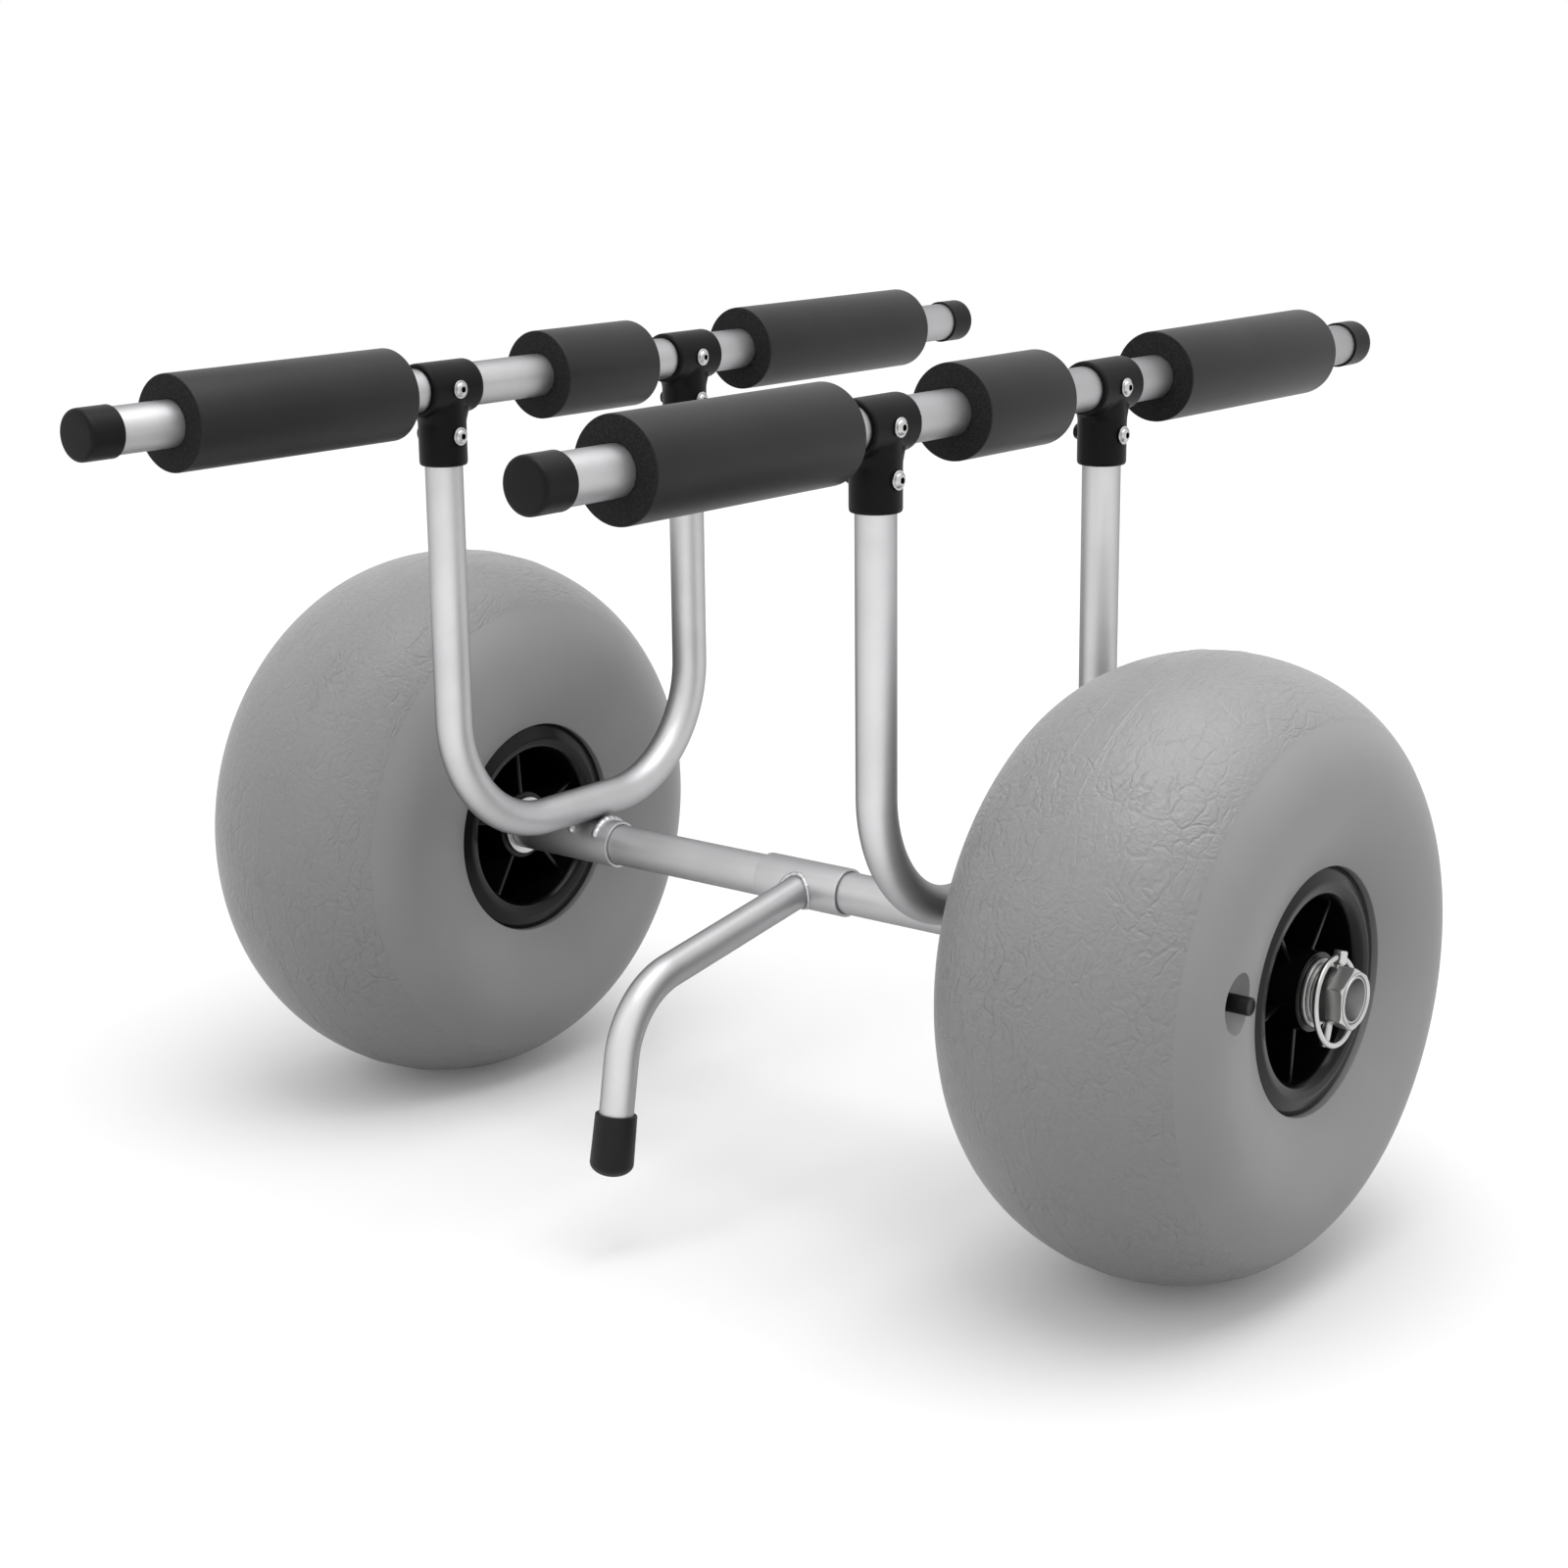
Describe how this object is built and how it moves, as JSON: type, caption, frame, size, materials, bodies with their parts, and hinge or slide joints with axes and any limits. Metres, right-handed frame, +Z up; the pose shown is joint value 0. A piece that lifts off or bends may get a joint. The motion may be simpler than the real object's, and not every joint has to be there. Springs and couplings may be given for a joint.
{
  "type": "kayak cart",
  "caption": "Two-wheeled kayak cart with balloon tyres on a tube axle, sliding U frames carrying foam-padded bunk bars, and a swing-down kickstand.",
  "frame": {"origin": "on the ground, under the middle of the bunk bars and midway between the two wheels", "axes": "+X along the axle from the left wheel to the right one, +Y along the bunk bars away from the kickstand, +Z up"},
  "size_m": [0.9202, 0.948, 0.6045],
  "materials": {
    "aluminium": "satin anodised tube",
    "tyre_rubber": "mid grey moulded tyre, wrinkled grain on the tread band, smooth side walls",
    "hub_plastic": "glossy black moulding",
    "valve_rubber": "black rubber",
    "bushing_metal": "turned",
    "stainless": "bright stainless",
    "foot_rubber": "matte black",
    "tee_plastic": "satin black moulding",
    "cap_rubber": "satin black",
    "foam": "matte black closed-cell foam"
  },
  "bodies": {
    "axle": {"axle_tube": "aluminium", "left_thrust_washer": "stainless", "left_axle_collar": "stainless", "left_linch_pin": "stainless", "right_thrust_washer": "stainless", "right_axle_collar": "stainless", "right_linch_pin": "stainless"},
    "left_wheel": {"left_tyre": "tyre_rubber", "left_hub": "hub_plastic", "left_valve": "valve_rubber", "left_outer_bushing": "bushing_metal", "left_inner_bushing": "bushing_metal"},
    "right_wheel": {"right_tyre": "tyre_rubber", "right_hub": "hub_plastic", "right_valve": "valve_rubber", "right_outer_bushing": "bushing_metal", "right_inner_bushing": "bushing_metal"},
    "left_frame": {"left_frame_tube": "aluminium", "left_frame_sleeve": "aluminium", "left_bar": "aluminium", "left_front_tee": "tee_plastic", "left_front_bar_bolt": "stainless", "left_front_bar_nut": "tee_plastic", "left_front_leg_bolt": "stainless", "left_front_leg_nut": "tee_plastic", "left_front_cap": "cap_rubber", "left_rear_tee": "tee_plastic", "left_rear_bar_bolt": "stainless", "left_rear_bar_nut": "tee_plastic", "left_rear_leg_bolt": "stainless", "left_rear_leg_nut": "tee_plastic", "left_rear_cap": "cap_rubber", "left_front_pad": "foam", "left_middle_pad": "foam", "left_rear_pad": "foam"},
    "right_frame": {"right_frame_tube": "aluminium", "right_frame_sleeve": "aluminium", "right_bar": "aluminium", "right_front_tee": "tee_plastic", "right_front_bar_bolt": "stainless", "right_front_bar_nut": "tee_plastic", "right_front_leg_bolt": "stainless", "right_front_leg_nut": "tee_plastic", "right_front_cap": "cap_rubber", "right_rear_tee": "tee_plastic", "right_rear_bar_bolt": "stainless", "right_rear_bar_nut": "tee_plastic", "right_rear_leg_bolt": "stainless", "right_rear_leg_nut": "tee_plastic", "right_rear_cap": "cap_rubber", "right_front_pad": "foam", "right_middle_pad": "foam", "right_rear_pad": "foam"},
    "kickstand": {"kickstand_sleeve": "aluminium", "kickstand_tube": "aluminium", "kickstand_foot": "foot_rubber"},
    "left_ring": {"left_linch_ring": "stainless"},
    "right_ring": {"right_linch_ring": "stainless"}
  },
  "joints": [
    {"name": "left_wheel_spin", "type": "hinge", "parent": "axle", "child": "left_wheel", "pos_m": [-0.343, -0.007, 0.21], "axis": [1, 0, 0], "continuous": true},
    {"name": "right_wheel_spin", "type": "hinge", "parent": "axle", "child": "right_wheel", "pos_m": [0.343, -0.007, 0.21], "axis": [1, 0, 0], "continuous": true},
    {"name": "left_frame_slide", "type": "slide", "parent": "axle", "child": "left_frame", "axis": [1, 0, 0], "range_m": [0, 0.145]},
    {"name": "right_frame_slide", "type": "slide", "parent": "axle", "child": "right_frame", "axis": [-1, 0, 0], "range_m": [0, 0.11]},
    {"name": "kickstand_swing", "type": "hinge", "parent": "axle", "child": "kickstand", "pos_m": [0.0175, -0.007, 0.21], "axis": [-1, 0, 0], "range_deg": [-15, 90]},
    {"name": "left_linch_ring_flip", "type": "hinge", "parent": "axle", "child": "left_ring", "pos_m": [-0.443, -0.01411, 0.23327], "axis": [0, 0.9563, 0.2924], "range_deg": [0, 150], "stiffness_Nm_per_rad": 0.01, "springref_deg": -68.75},
    {"name": "right_linch_ring_flip", "type": "hinge", "parent": "axle", "child": "right_ring", "pos_m": [0.443, 0.00011, 0.23327], "axis": [0, -0.9563, 0.2924], "range_deg": [0, 150], "stiffness_Nm_per_rad": 0.01, "springref_deg": -68.75}
  ]
}
